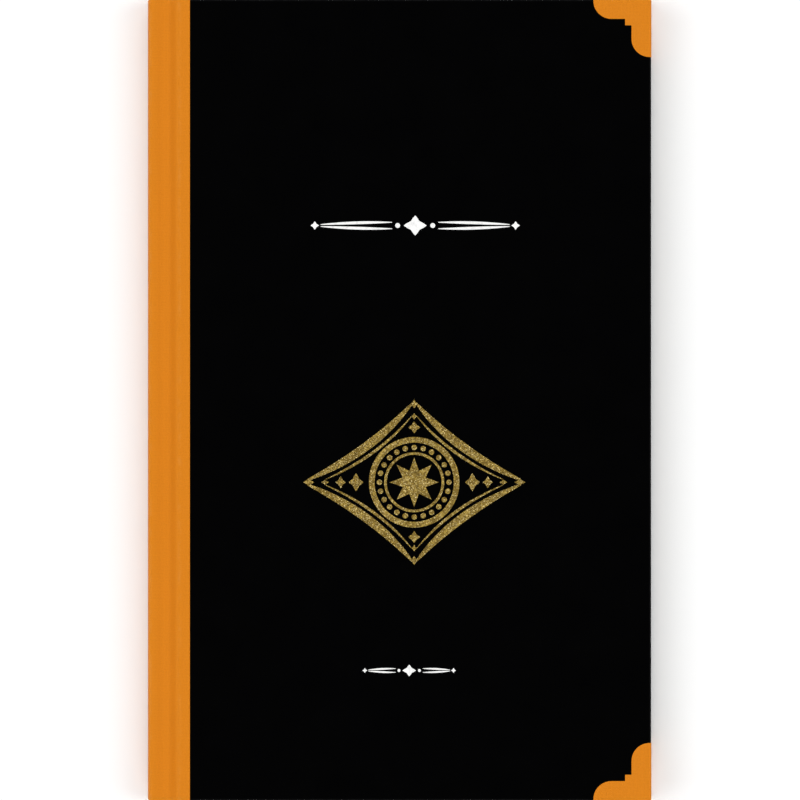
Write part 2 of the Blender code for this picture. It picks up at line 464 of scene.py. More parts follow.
coverPaper = makeMaterial("coverPaper", coverPaperSettings, coverPaperFinish)
orangeCloth = makeMaterial("orangeCloth", clothSettings, clothFinish)
leafPaper = makeMaterial("leafPaper", leafPaperSettings, leafPaperFinish)
endpaper = makeMaterial("endpaper", endpaperSettings, mottledFinish)
headbandThread = makeMaterial("headbandThread", headbandSettings, headbandFinish)
goldFoil = makeMaterial("goldFoil", foilSettings, foilFinish)
whitePrint = makeMaterial("whitePrint", printSettings, mottledFinish)
print("materials made")


# Mesh helpers

def pointsFrom(*coordinates):
    # A grid of points from one array for each coordinate, all spread over the same rows and columns.
    return np.stack(np.broadcast_arrays(*coordinates), axis=-1)


def raised(places, heights):
    # Flat places become points, each with its own height.
    return pointsFrom(places[..., 0], places[..., 1], heights)


def gridFaces(rows, columns, closeRows=False, closeColumns=False):
    # Quads between neighbours in a grid of points that is numbered row by row.
    row = np.arange(rows if closeRows else rows - 1)[:, None]
    column = np.arange(columns if closeColumns else columns - 1)[None, :]
    nextRow, nextColumn = (row + 1) % rows, (column + 1) % columns
    corners = [
        row * columns + column,
        row * columns + nextColumn,
        nextRow * columns + nextColumn,
        nextRow * columns + column,
    ]
    return np.stack(corners, axis=-1).reshape(-1, 4).tolist()


def closedTube(points):
    # A grid whose rows are loops, one above the other. The first and last each get a point in their
    # middle, and a fan of triangles to it.
    rows, columns = points.shape[:2]
    faces = gridFaces(rows, columns, closeColumns=True)
    for row, middle in ((0, rows * columns), (rows - 1, rows * columns + 1)):
        loop = row * columns + np.arange(columns)
        faces += pointsFrom(loop, np.roll(loop, -1), middle).tolist()
    return np.concatenate([points.reshape(-1, 3), points[[0, -1]].mean(axis=1)]), faces


def newObject(name, data):
    made = bpy.data.objects.new(name, data)
    bpy.context.scene.collection.objects.link(made)
    return made


def makePiece(name, points, faces, material, sharp=40.0, **attributes):
    # Points become metres, doubled points are joined, and the faces are turned outwards.
    doubled = 0.0001 * mm
    mesh = bpy.data.meshes.new(name)
    mesh.from_pydata((np.asarray(points).reshape(-1, 3) * mm).tolist(), [], faces)
    for title, values in attributes.items():
        flat = np.asarray(values, dtype=np.float32)
        isVector = flat.ndim > 1 and flat.shape[-1] == 3
        kind, field = ("FLOAT_VECTOR", "vector") if isVector else ("FLOAT", "value")
        mesh.attributes.new(title, kind, "POINT").data.foreach_set(field, flat.ravel())
    shape = bmesh.new()
    shape.from_mesh(mesh)
    bmesh.ops.remove_doubles(shape, verts=shape.verts, dist=doubled)
    bmesh.ops.dissolve_degenerate(shape, edges=shape.edges, dist=doubled)
    bmesh.ops.recalc_face_normals(shape, faces=shape.faces)
    shape.to_mesh(mesh)
    shape.free()
    mesh.shade_smooth()
    mesh.set_sharp_from_angle(angle=np.radians(sharp))
    mesh.materials.append(material)
    return newObject(name, mesh)


def makeShell(name, outer, inner, material, **attributes):
    # Two sheets of the same grid: the rows of the outer one, then those of the inner one backwards, make
    # a tube, and quads between the sheets shut its ends. An attribute is a grid of values, or one for each.
    rows, columns = outer.shape[:2]
    faces = gridFaces(2 * rows, columns, closeRows=True)
    row = np.arange(rows - 1)
    ends = pointsFrom(row, row + 1, 2 * rows - 2 - row, 2 * rows - 1 - row) * columns
    faces += ends.tolist() + (ends + columns - 1).tolist()
    both = {}
    for title, values in attributes.items():
        outerValues, innerValues = values if isinstance(values, tuple) else (values, values)
        both[title] = np.concatenate([outerValues, innerValues[::-1]]).reshape((-1, *outerValues.shape[2:]))
    return makePiece(name, np.concatenate([outer, inner[::-1]]), faces, material, **both)


def toBack(points):
    # The back cover is the front one turned over: heights are counted down from the top instead.
    return points * (1.0, 1.0, -1.0) + (0.0, 0.0, bookTop)


def placedOn(side, *sheets):
    return [toBack(points) if side == "back" else points for points in sheets]


def smoothStep(share):
    # Half a wave of a cosine, from 0 to 1.
    share = np.clip(share, 0.0, 1.0)
    return (1 - np.cos(np.pi * share)) / 2


def pathLength(path):
    return np.concatenate([[0.0], np.cumsum(np.linalg.norm(np.diff(path, axis=0), axis=1))])


def mirrored(half, sign=1.0):
    # The columns of one half, times the sign, and then those of the other, with the middle one once.
    return np.concatenate([half * sign, half[:, -2::-1]], axis=1)


def placesThrough(places, counts):
    # Even places from each of these to the next, as many as the count with both ends, and none twice.
    spans = [np.linspace(*span)[1:] for span in zip(places, places[1:], counts)]
    return np.concatenate([[places[0]], *spans])


def quarterCircle(count, radius=1.0):
    # Round an edge from its side to its face: how far each place is in from the side, and how far down.
    turn = np.linspace(np.pi / 2, 0, count)
    return radius * (1 - np.sin(turn)), radius * (1 - np.cos(turn))


def closeToEdges(low, high, radius, count):
    # Places from low to high, with three steps through the rounding at each end.
    rounding = radius * np.arange(3) / 3
    flat = np.linspace(low + radius, high - radius, count)
    return np.concatenate([low + rounding, flat, high - rounding[::-1]])


def roundTheCircle(count):
    return np.linspace(0, 2 * np.pi, count, endpoint=False)


def loopRound(xs, ys):
    # Once round a rectangle from its low corner: along, up, back and down.
    sides = [(xs[:-1], ys[0]), (xs[-1], ys[:-1]), (xs[:0:-1], ys[-1]), (xs[0], ys[:0:-1])]
    return np.concatenate([pointsFrom(*side) for side in sides])


def roundOver(points, low, high, radius, proud=0.0):
    # A box of sharp edges becomes a rounded one: each point goes to its nearest place in the box shrunk
    # by the radius, and from there straight out by the radius.
    core = np.clip(points, low + radius, high - radius)
    out = points - core
    return core + out / np.linalg.norm(out, axis=-1, keepdims=True) * (radius + proud)


roundedShare = 0.999  # of a slab's radius, so that the row where the rounding ends lies on the flat face


def roundedSlab(low, high, radius, countX, countY):
    # Loops of the same number of points run out over the top face, down the side, and in again below. It
    # returns the points, the faces, and how round the edge is at each point.
    xs = closeToEdges(low[0], high[0], radius, countX)
    ys = closeToEdges(low[1], high[1], radius, countY)
    loop = loopRound(xs, ys)
    middle = (low[:2] + high[:2]) / 2
    onFace = radius * np.array([8, 2, 1, 2 / 3, 1 / 3, 0])
    sides = closeToEdges(low[2], high[2], min(radius, (high[2] - low[2]) / 2), 2)[1:-1]
    insets = np.concatenate([onFace, np.zeros(len(sides)), onFace[::-1]])
    heights = np.concatenate([np.full(len(onFace), high[2]), sides[::-1], np.full(len(onFace), low[2])])
    shrink = 1 - insets[:, None] / (high[:2] - middle)
    points = raised(middle + (loop - middle) * shrink[:, None, :], heights[:, None])
    points, faces = closedTube(roundOver(points, low, high, radius * roundedShare))
    rub = np.clip(1 - insets / radius, 0, 1)[:, None] * np.ones(len(loop))
    return points, faces, np.append(rub, [0.0, 0.0])


def finishPiece(piece, body, slotName, *nodes):
    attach(piece, body)
    if nodes:
        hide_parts(*nodes)


covers = {"front": "front_cover", "back": "back_cover"}
bookEnds = ("head", "tail")


# Covered boards

boardSettings = {
    "radius": 0.6,
    "sink": 0.1,  # how far the black paper lies inside the solid's box on its outer sides
    "counts": (24, 40),
}


def boardBox():
    low, high = boardLow.copy(), boardHigh.copy()
    low[1] += boardSettings["sink"]
    high -= boardSettings["sink"]
    return low, high


def makeBoard(side):
    points, faces, rub = roundedSlab(*boardBox(), boardSettings["radius"], *boardSettings["counts"])
    board = makePiece(side + "BoardPaper", *placedOn(side, points), faces, coverPaper, rub=rub)
    finishPiece(board, covers[side], "cover_paper", side + "_board")


for side in covers:
    makeBoard(side)
print("boards made")


# Corner pieces of cloth

cornerSettings = {
    "reach": 17.3,  # along each edge, from the corner
    "lobe": 5.9,  # how far a lobe stands in from its edge
    "arc": 5.4,  # radius of a lobe's round end
    "arcCount": 15,
    "straight": 10.0,  # a place between a lobe's arc and the notch
    "notch": 7.8,  # side of the square notch's outer corner
    "notchCount": 8,
    "notchStep": 0.03,
    "thickness": 0.09,
    "sunk": 0.01,  # how far its under face stands off the box of the paper
    "flatRows": 4,
    "sideRows": 3,
}


def cornerOutline():
    # Where each column of the corner's sheet starts and ends, as distances from the two edges. Columns run
    # from the fore-edge's tip, past the corner, to the tip on the other edge, and mirror at the diagonal.
    s = cornerSettings
    turn = np.linspace(0.0, np.pi / 2, s["arcCount"])
    alongArc = s["reach"] - s["arc"] + s["arc"] * np.cos(turn)
    acrossArc = s["lobe"] - s["arc"] + s["arc"] * np.sin(turn)
    alongFlat = np.array([s["straight"], s["notch"] + s["notchStep"]])
    radius = boardSettings["radius"]
    alongFan = np.linspace(s["notch"], radius, s["notchCount"])
    alongFan = np.concatenate([alongFan, radius * np.array([2 / 3, 1 / 3, 0.0])])
    along = np.concatenate([alongArc, alongFlat, alongFan])
    edge = pointsFrom(np.zeros(len(along)), along)
    lobe = pointsFrom(acrossArc, alongArc)
    inner = np.concatenate([lobe, pointsFrom(s["lobe"], alongFlat), np.full((len(alongFan), 2), s["notch"])])
    return np.concatenate([edge, edge[-2::-1, ::-1]]), np.concatenate([inner, inner[-2::-1, ::-1]])


def makeCorner(side, end):
    # Rows run from the outline on the outer face to the board's edge, over it, and back to the same
    # outline on the inner face.
    s = cornerSettings
    low, high = boardBox()
    radius = boardSettings["radius"]
    edge, inner = cornerOutline()
    reach = np.max(inner - edge, axis=1)[:, None]
    onFlat = radius + np.linspace(1, 0, s["flatRows"]) * (reach - radius)
    rounding = np.array([3 / 4, 2 / 4, 1 / 4, 0])
    onRounding = np.broadcast_to(radius * rounding, (len(reach), len(rounding)))
    fraction = (np.concatenate([onFlat, onRounding], axis=1) / reach).T
    face = edge + fraction[..., None] * (inner - edge)
    sides = closeToEdges(low[2], high[2], radius, s["sideRows"])[::-1][1:-1]
    rim = np.broadcast_to(edge, (len(sides), *edge.shape))
    away = np.concatenate([face, rim, face[::-1]])
    heights = np.concatenate([np.full(len(face), high[2]), sides, np.full(len(face), low[2])])[:, None]
    points = pointsFrom(high[0] - away[..., 0], high[1] - away[..., 1], heights)
    outer = roundOver(points, low, high, radius * roundedShare, s["thickness"])
    under = roundOver(points, low, high, radius * roundedShare, s["sunk"])
    # The weave's measure runs on over the edge that a column crosses, and straight along the other edge.
    signs = np.concatenate([np.full(len(face), -1.0), np.zeros(len(sides)), np.ones(len(face))])[:, None]
    over, along = signs[..., None] * away + (high[2] - heights)[..., None], -away
    onForeEdge = np.arange(len(edge)) < len(edge) // 2
    measureX = np.where(onForeEdge, over[..., 0], along[..., 0])
    measureY = np.where(onForeEdge, along[..., 1], over[..., 1])
    worn = np.concatenate([np.zeros(s["flatRows"]), 1 - rounding])
    rub = np.concatenate([worn, np.ones(len(sides)), worn[::-1]])
    rub = np.broadcast_to(rub[:, None], outer.shape[:2])
    flip = np.array([1.0, 1.0 if end == "head" else -1.0, 1.0])
    sheets = placedOn(side, outer * flip, under * flip)
    measure = pointsFrom(measureX, measureY, 0.0)
    corner = makeShell(f"{side}Corner{end.title()}", *sheets, orangeCloth, sheet=measure, rub=rub)
    finishPiece(corner, covers[side], "spine_cloth", f"{side}_corner_{end}")


for side in covers:
    for end in bookEnds:
        makeCorner(side, end)
print("corners made")


# Cloth over the spine

foldRounding = 0.22  # of the cloth's folds at head and tail

spineSettings = {
    "shoulder": 0.9,
    "bulge": 0.5,
    "wall": 0.3,  # thickness along the upper and lower edges
    "wallEnd": 0.05,  # the share of it that is left where they meet the joints
    "gap": 0.02,  # between the inner face and the solid's
    "mostDrawnIn": 0.45,  # share of the wall by which each face may be drawn in at head and tail
    "stations": (12.0, 60.0),
    "counts": (6, 10, 26, 5),  # over an edge, round a shoulder, down the back, and round a fold
    "wornFrom": 0.05,
}


def makeSpine():
    # Rows go from the upper edge round the back to the lower edge: flat, a quarter circle, a bow that is
    # highest in the middle, and the same again below. The inner face is straight. Columns run from tail
    # to head, and at the ends the two faces are drawn in towards each other by a quarter circle.
    s = spineSettings
    overCount, shoulderCount, backCount, foldCount = s["counts"]
    low, high, reach = spineLow[2], spineHigh[2], spineHigh[1]
    shoulder, bulge = s["shoulder"], s["bulge"]
    over = pointsFrom(np.linspace(spineDepth, bulge + shoulder, overCount)[:-1], high)
    inwards, down = quarterCircle(shoulderCount, shoulder)
    upper = np.concatenate([over, pointsFrom(bulge + inwards, high - down)[::-1]])
    share = np.linspace(0, 1, backCount)[1:-1]
    back = high - shoulder - share * (high - low - 2 * shoulder)
    bow = pointsFrom(bulge * (1 - np.sin(np.pi * share) ** 2), back)
    outerPath = np.concatenate([upper, bow, upper[::-1] * (1.0, -1.0) + (0.0, high + low)])
    innerPath = pointsFrom(spineDepth - s["gap"], outerPath[:, 1])
    count = len(over)
    innerPath[:count, 1] = high - s["wall"] * np.linspace(s["wallEnd"], 1, count)
    innerPath[-count:, 1] = low + s["wall"] * np.linspace(1, s["wallEnd"], count)
    fromEnd, drawnIn = quarterCircle(foldCount, foldRounding)
    fromEnd = np.concatenate([fromEnd, s["stations"], [reach]])
    drawnIn = np.concatenate([drawnIn, np.zeros(len(s["stations"]) + 1)])
    stations = np.concatenate([fromEnd - reach, (reach - fromEnd)[-2::-1]])
    drawnIn = np.concatenate([drawnIn, drawnIn[-2::-1]])
    through = innerPath - outerPath
    width = np.linalg.norm(through, axis=1)[:, None, None]
    inward = through[:, None, :] / width * np.minimum(drawnIn[None, :, None], s["mostDrawnIn"] * width)
    sheets = []
    for place in (outerPath[:, None, :] + inward, innerPath[:, None, :] - inward):
        sheets.append(pointsFrom(place[..., 0] + spineX, stations, place[..., 1]))
    measure = pointsFrom(pathLength(outerPath)[:, None], stations, 0.0)
    worn = np.concatenate([np.zeros(count), np.ones(shoulderCount)])
    worn = np.concatenate([worn, np.zeros(len(bow)), worn[::-1]])
    rub = np.maximum(worn[:, None], (drawnIn > s["wornFrom"]).astype(float))
    spine = makeShell("spineCloth", *sheets, orangeCloth, sheet=measure, rub=rub)
    finishPiece(spine, "book_block", "spine_cloth", "spine")


makeSpine()
print("spine made")


# Cloth over the joints between the spine and the boards

jointSettings = {
    "edge": jointHigh[0] - spineX,  # where the cloth ends on the board, from the back of the spine
    "floor": jointLow[2] + 0.5,  # height of the groove's floor
    "bendEnd": 4.1,  # where the first run of stations across the joint ends
    "dropEnd": 5.0,
    "riseStart": 6.3,
    "riseEnd": 9.6,
    "thickness": 0.45,  # doubled cloth, in the groove
    "onBoard": 0.09,
    "thinStart": 8.2,
    "thinEnd": 10.4,
    "boardRounding": 0.6,
    "roundingCount": 6,
    "boardStep": 0.6,  # a place this far onto the board
    "counts": (22, 34, 9, 5),  # up to the bend's end, the rise's end, that place and the edge
    "takeIn": (0.7, 0.6),  # the fold takes in the board's edge from this far before it, over this length
    "turnIn": 12.0,  # how far the cloth comes back inside the cover from its fold at head and tail
    "turnInStep": 0.4,
    "turnInProud": 0.05,
    "foldStations": (2.0, 5.0, 8.0),
    "farStations": (24.0, 60.0),
    "worn": (8.8, 10.8),  # across the ridge over the board's edge
    "wornBlur": 1.0,
}


def jointHeight(across):
    # The outer face: level with the spine's edge, down a half wave into the groove, and up another onto
    # the board.
    s = jointSettings
    drop = smoothStep((across - spineDepth) / (s["dropEnd"] - spineDepth))
    rise = smoothStep((across - s["riseStart"]) / (s["riseEnd"] - s["riseStart"]))
    return spineHigh[2] + (s["floor"] - spineHigh[2]) * drop + (bookTop - s["floor"]) * rise


def bendOver(piece, side):
    # The piece's placement is baked into its mesh, the same way for either side.
    if side == "front":
        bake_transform(piece)
    else:
        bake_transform(piece)


def makeJoint(side):
    # Rows are stations across the joint, and columns run from tail to head. At both ends the cloth folds
    # round and comes back inside: in the groove it is only doubled, and beside it the fold takes in the
    # board's edge. Both corners of a fold are quarter circles of the row's own rounding.
    s = jointSettings
    boardStart, reach = boardLow[0] - spineX, spineHigh[1]
    places = (spineDepth, s["bendEnd"], s["riseEnd"], boardStart + s["boardStep"], s["edge"])
    across = placesThrough(places, s["counts"])
    height = jointHeight(across)[:, None]
    before, length = s["takeIn"]
    onBoard = smoothStep((across - boardStart + before) / length)[:, None]
    rounding = foldRounding + (s["boardRounding"] - foldRounding) * onBoard
    atFold, dropAtFold = quarterCircle(s["roundingCount"], rounding)
    inwards = (*s["foldStations"], s["turnIn"], s["turnIn"] + s["turnInStep"], *s["farStations"], reach)
    flat = np.broadcast_to(np.array(inwards), (len(across), len(inwards)))
    fromEnd = np.concatenate([atFold, flat], axis=1)
    drop = np.concatenate([dropAtFold, np.zeros(flat.shape)], axis=1)
    thinning = smoothStep((across - s["thinStart"]) / (s["thinEnd"] - s["thinStart"]))[:, None]
    single = height - s["thickness"] + (s["thickness"] - s["onBoard"]) * thinning
    doubled = height - s["thickness"]
    doubled = doubled + (boardLow[2] - s["turnInProud"] - doubled) * onBoard
    under = np.where(fromEnd <= s["turnIn"], doubled, single)
    x, y = across[:, None] + spineX, reach - fromEnd
    halves = [pointsFrom(x, y, height - drop), pointsFrom(x, y, under + drop)]
    measureX = pathLength(pointsFrom(across, height[:, 0]))[:, None]
    for unrolled in (drop - fromEnd, height - under + fromEnd - drop):
        halves.append(pointsFrom(measureX, reach + unrolled, 0.0))
    first, last = s["worn"]
    overBoard = smoothStep((across - first) / s["wornBlur"]) * smoothStep((last - across) / s["wornBlur"])
    rub = mirrored(np.maximum(overBoard[:, None], 1 - np.clip(fromEnd / rounding, 0, 1)))
    outer, inner, *measure = (mirrored(half, np.array([1.0, -1.0, 1.0])) for half in halves)
    sheets = placedOn(side, outer, inner)
    cloth = makeShell(side + "JointCloth", *sheets, orangeCloth, sheet=tuple(measure), rub=rub)
    bendOver(cloth, side)
    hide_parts(side + "_joint")


for side in covers:
    makeJoint(side)
print("joints made")


# Leaves

leafSettings = {
    "count": 68,
    "inset": 0.1,  # of the leaves from the solid's box at head, tail and fore-edge
    "flyleaf": 0.10,
    "groove": 0.05,  # depth of the line between two leaves
    "grooveWidth": 0.16,  # share of a leaf's thickness on each side
    "wander": 0.05,  # how far a leaf's edge strays from its neighbours'
    "wanderSpan": 9,  # leaves on each side over which the straying is evened out
    "ripple": 0.03,
    "waves": ((5, 0.4), (11, 0.3), (23, 0.2), (41, 0.1)),  # waves round the block, and each one's share
    "waveShift": 0.35,  # how much the waves shift from leaf to leaf
    "counts": (48, 78),
    "seed": 11,
}


def makeLeaves():
    # One closed surface: each leaf's edge is a band round the block, with a fine groove between two bands.
    # The bands stray in and out by a random walk, and along the edge by slow waves.
    s = leafSettings
    count, span, near = s["count"], s["wanderSpan"], 1e-6
    draw = np.random.default_rng(s["seed"])
    low = blockLow + (0.0, s["inset"], s["flyleaf"])
    high = blockHigh - (s["inset"], s["inset"], s["flyleaf"])
    loop = loopRound(*(np.linspace(*ends) for ends in zip(low[:2], high[:2], s["counts"])))
    out = np.stack([loop[:, 0] >= high[0] - near, loop[:, 1] >= high[1] - near], 1).astype(float)
    out[:, 1] -= loop[:, 1] <= low[1] + near
    walk = np.cumsum(draw.normal(0, 1, count))
    window = 2 * span + 1
    walk -= np.convolve(np.pad(walk, span, mode="edge"), np.ones(window) / window, mode="valid")
    walk = s["wander"] * np.clip(walk / (2 * np.abs(walk).std()), -1, 1)
    along = roundTheCircle(len(loop))
    numbers, shares = np.array(s["waves"]).T[..., None]
    phase = np.cumsum(draw.normal(0, s["waveShift"], (count, len(numbers))), axis=0)
    waves = np.sin(along * numbers + phase[..., None])
    stray = walk[:, None] + s["ripple"] * (waves * shares).sum(axis=1)
    rows = np.stack([stray - s["groove"], stray, stray], axis=1).reshape(-1, len(loop))
    rows = np.concatenate([rows, rows[:1]])
    within = np.array([0.0, s["grooveWidth"], 1 - s["grooveWidth"]])
    heights = low[2] + (high[2] - low[2]) / count * (np.arange(count)[:, None] + within).ravel()
    points = raised(loop + rows[..., None] * out, np.append(heights, high[2])[:, None])
    leaves = makePiece("leaves", *closedTube(points), leafPaper, sharp=30.0)
    finishPiece(leaves, "book_block", "leaf_paper", "text_block")


makeLeaves()
print("leaves made")


# Endpapers: a flyleaf on the leaves, and a sheet that is pasted inside the cover and folds down to it

endpaperShape = {
    "thickness": 0.09,
    "square": 3.2,  # the pasted sheet stops this far inside the board's edges
    "foldStart": 0.25,  # this and the next three are from the leaves' spine side
    "turnEnd": 1.4,
    "liftStart": 3.25,
    "liftEnd": 6.75,
    "clear": 0.03,  # between the flyleaf and the pasted sheet
    "pasteGap": 0.01,
    "acrossCounts": (22, 30, 20),
    "alongCount": 30,
    "edgeRounding": 0.04,
    "flyleafCounts": (8, 12),
}


def makeFlyleaf(side):
    # A sheet with square edges is a slab with hardly any rounding.
    s, inset = endpaperShape, leafSettings["inset"]
    low = np.array([blockLow[0] + s["foldStart"], blockLow[1] + inset, blockHigh[2] - s["thickness"]])
    high = blockHigh - (inset, inset, 0.0)
    points, faces, _ = roundedSlab(low, high, s["edgeRounding"], *s["flyleafCounts"])
    flyleaf = makePiece(side + "Flyleaf", *placedOn(side, points), faces, endpaper)
    finishPiece(flyleaf, "book_block", "endpaper")


def makePastedown(side):
    # Rows are stations across the cover: close together through the bend at the hinge, then up a half wave
    # onto the board, and flat to its fore-edge.
    s = endpaperShape
    root = blockLow[0] - spineX
    start, turnEnd, liftStart, liftEnd = (
        root + s[place] for place in ("foldStart", "turnEnd", "liftStart", "liftEnd")
    )
    far = boardHigh[0] - s["square"] - spineX
    across = placesThrough((start, turnEnd, liftEnd, far), s["acrossCounts"])
    lying = blockHigh[2] + s["thickness"] + s["clear"]
    pasted = boardLow[2] - s["pasteGap"]
    upper = lying + (pasted - lying) * smoothStep((across - liftStart) / (liftEnd - liftStart))
    stations = np.linspace(boardLow[1] + s["square"], boardHigh[1] - s["square"], s["alongCount"])
    levels = (upper, upper - s["thickness"])
    sheets = [pointsFrom(across[:, None] + spineX, stations, level[:, None]) for level in levels]
    pastedown = makeShell(side + "Pastedown", *placedOn(side, *sheets), endpaper)
    bendOver(pastedown, side)


for side in covers:
    makeFlyleaf(side)
    makePastedown(side)
print("endpapers made")


# Headbands: a core wound with thread of two colours

headbandShape = {
    "turns": 15,
    "perColour": 2.5,
    "colourShift": 0.3,
    "threadDepth": 0.13,
    "endLength": 0.35,
    "endShare": 0.75,  # how much of the squared radius goes at the very ends
    "counts": (260, 28),
}


def makeHeadband(end):
    # Radius over height and angle: the core's radius less a dip between the turns of a slanting thread.
    s = headbandShape
    heightCount, angleCount = s["counts"]
    low, high = boxOf("headband_" + end)
    middle, radius = (low + high) / 2, (high[0] - low[0]) / 2
    height = np.linspace(low[2], high[2], heightCount)[:, None]
    angle = roundTheCircle(angleCount)
    turns = s["turns"] * (height - low[2]) / (high[2] - low[2]) + angle / (2 * np.pi)
    arch = np.abs(np.sin(np.pi * turns))
    atEnds = np.clip(np.minimum(height - low[2], high[2] - height) / s["endLength"], 0, 1)
    size = (radius - s["threadDepth"] * (1 - arch)) * np.sqrt(1 - (1 - atEnds) ** 2 * s["endShare"])
    points = pointsFrom(middle[0] + size * np.cos(angle), middle[1] + size * np.sin(angle), height)
    stripe = np.sin(np.pi * np.floor(turns) / s["perColour"] + s["colourShift"])
    stripe = np.append(stripe, stripe[[0, -1], 0])
    name = "headband" + end.title()
    band = makePiece(name, *closedTube(points), headbandThread, sharp=60.0, stripe=stripe)
    finishPiece(band, "book_block", "headband_cloth", "headband_" + end)


for end in bookEnds:
    makeHeadband(end)
print("headbands made")


# Ornaments stamped on the front cover

stampSettings = {
    "height": 0.055,
    "shoulder": 0.03,
    "shoulderRise": 0.5,  # share of the height at which the shoulder starts
    "leastTop": 0.4,  # share of a fine line's width that stays flat
    "leastSize": 0.3,  # share of a small shape's size that its shoulder may take
    "strokeEnd": 0.22,  # width of a stroke's ends, as a share of its middle's
    "strokeFullness": 0.8,
    "lift": 0.002,
    "ringCount": 96,
    "strokeCount": 40,
    "dotCount": 16,
    "lozengeCount": 32,
    "hollow": 0.82,  # how far a lozenge's sides sag
}


def onCircle(radius, angle):
    return pointsFrom(radius * np.cos(angle), radius * np.sin(angle))


def stampedLine(path, halfWidth, closed=False):
    # A line of changing width: across it the section is flat on top with sloping shoulders.
    s = stampSettings
    step = (np.roll(path, -1, 0) - np.roll(path, 1, 0)) if closed else np.gradient(path, axis=0)
    step = step / np.linalg.norm(step, axis=1, keepdims=True)
    sideways = pointsFrom(-step[:, 1], step[:, 0])
    wide = np.broadcast_to(halfWidth, (len(path),))
    narrow = np.maximum(wide - s["shoulder"], s["leastTop"] * wide)
    away = pointsFrom(wide, wide, narrow, -narrow, -wide, -wide)
    rise = np.array([0.0, s["shoulderRise"], 1.0, 1.0, s["shoulderRise"], 0.0]) * s["height"]
    points = raised(path[:, None, :] + sideways[:, None, :] * away[..., None], rise)
    rows, columns = away.shape
    faces = gridFaces(rows, columns, closeRows=closed, closeColumns=True)
    if not closed:
        section = np.arange(columns)
        faces += [section.tolist(), (section + (rows - 1) * columns).tolist()]
    return points.reshape(-1, 3), faces


def stampedShape(radius, angle, centre):
    # A filled shape round its centre: its outline, drawn in to a shoulder, and a flat top.
    s = stampSettings
    top = 1.0 - min(s["leastSize"], s["shoulder"] / np.abs(radius).max())
    places = onCircle(radius, angle) * np.array([1.0, 1.0, top])[:, None, None] + centre
    rise = np.array([0.0, s["shoulderRise"], 1.0])[:, None] * s["height"]
    return closedTube(raised(places, rise))


def dot(centre, radius):
    angle = roundTheCircle(stampSettings["dotCount"])
    return stampedShape(np.full(len(angle), radius), angle, centre)


def lozenge(centre, halfWidth, halfHeight):
    # Four tips joined by sides that sag towards the middle.
    angle = roundTheCircle(stampSettings["lozengeCount"])
    flat = 1 / (np.abs(np.cos(angle)) / halfWidth + np.abs(np.sin(angle)) / halfHeight)
    sag = 1 - (1 - stampSettings["hollow"]) * np.sin(2 * angle) ** 2
    return stampedShape(flat * sag, angle, centre)


def star(centre, outerRadius, innerRadius, tips):
    # The radius runs straight between the tips and the notches.
    number = np.arange(2 * tips)
    radius = np.where(number % 2 == 0, outerRadius, innerRadius)
    return stampedShape(radius, np.pi / 2 + number * np.pi / tips, centre)


def ring(radius, halfWidth):
    return stampedLine(onCircle(radius, roundTheCircle(stampSettings["ringCount"])), halfWidth, closed=True)


def taperedStroke(start, bend, end, halfWidth):
    # A curve pulled towards its bend point, thickest in the middle and fine at its ends.
    share = np.linspace(0, 1, stampSettings["strokeCount"])[:, None]
    start, bend, end = (np.array(place, dtype=float) for place in (start, bend, end))
    path = (1 - share) ** 2 * start + 2 * share * (1 - share) * bend + share**2 * end
    fine = stampSettings["strokeEnd"]
    fullness = np.sin(np.pi * share[:, 0]) ** stampSettings["strokeFullness"]
    return stampedLine(path, halfWidth * (fine + (1 - fine) * fullness))


def makeStamp(name, shapes, centre, material, slotName):
    # All of an ornament's shapes in one mesh, laid on the cover's paper.
    points, faces, count = [], [], 0
    for shapePoints, shapeFaces in shapes:
        points.append(shapePoints)
        faces += [[number + count for number in face] for face in shapeFaces]
        count += len(shapePoints)
    level = boardBox()[1][2] + stampSettings["lift"]
    placed = np.concatenate(points) + (*centre, level)
    finishPiece(makePiece(name, placed, faces, material, sharp=25.0), "front_cover", slotName)


medallionSettings = {
    "centre": (4.5, -24.6),
    "halfWidth": 33.0,
    "halfHeight": 24.5,
    "strokes": ((1.00, 1.30), (0.85, 0.42)),  # size against the whole, and half the line's width
    "pull": 0.20,
    "strokeRoom": (1.6, 1.2),  # how far inside the whole the strokes end
    "strokeGap": 0.9,  # from the axis to the end of a stroke
    "tipShift": (0.2, 0.1),
    "tipSize": (0.7, 0.4),  # plain, and by the line's width
    "tipStretch": (1.35, 1.1),
    "rings": ((12.7, 0.85), (8.6, 0.40)),  # radius, and half the line's width
    "beads": (10.4, 0.82, 24),  # radius of their circle, their own radius, and their number
    "star": (7.4, 3.7, 8),
    "sideLozenges": ((17.4, 2.2, 2.7), (22.0, 1.5, 1.8)),  # place, half width and half height
    "endLozenges": ((16.4, 1.8, 1.8),),
}


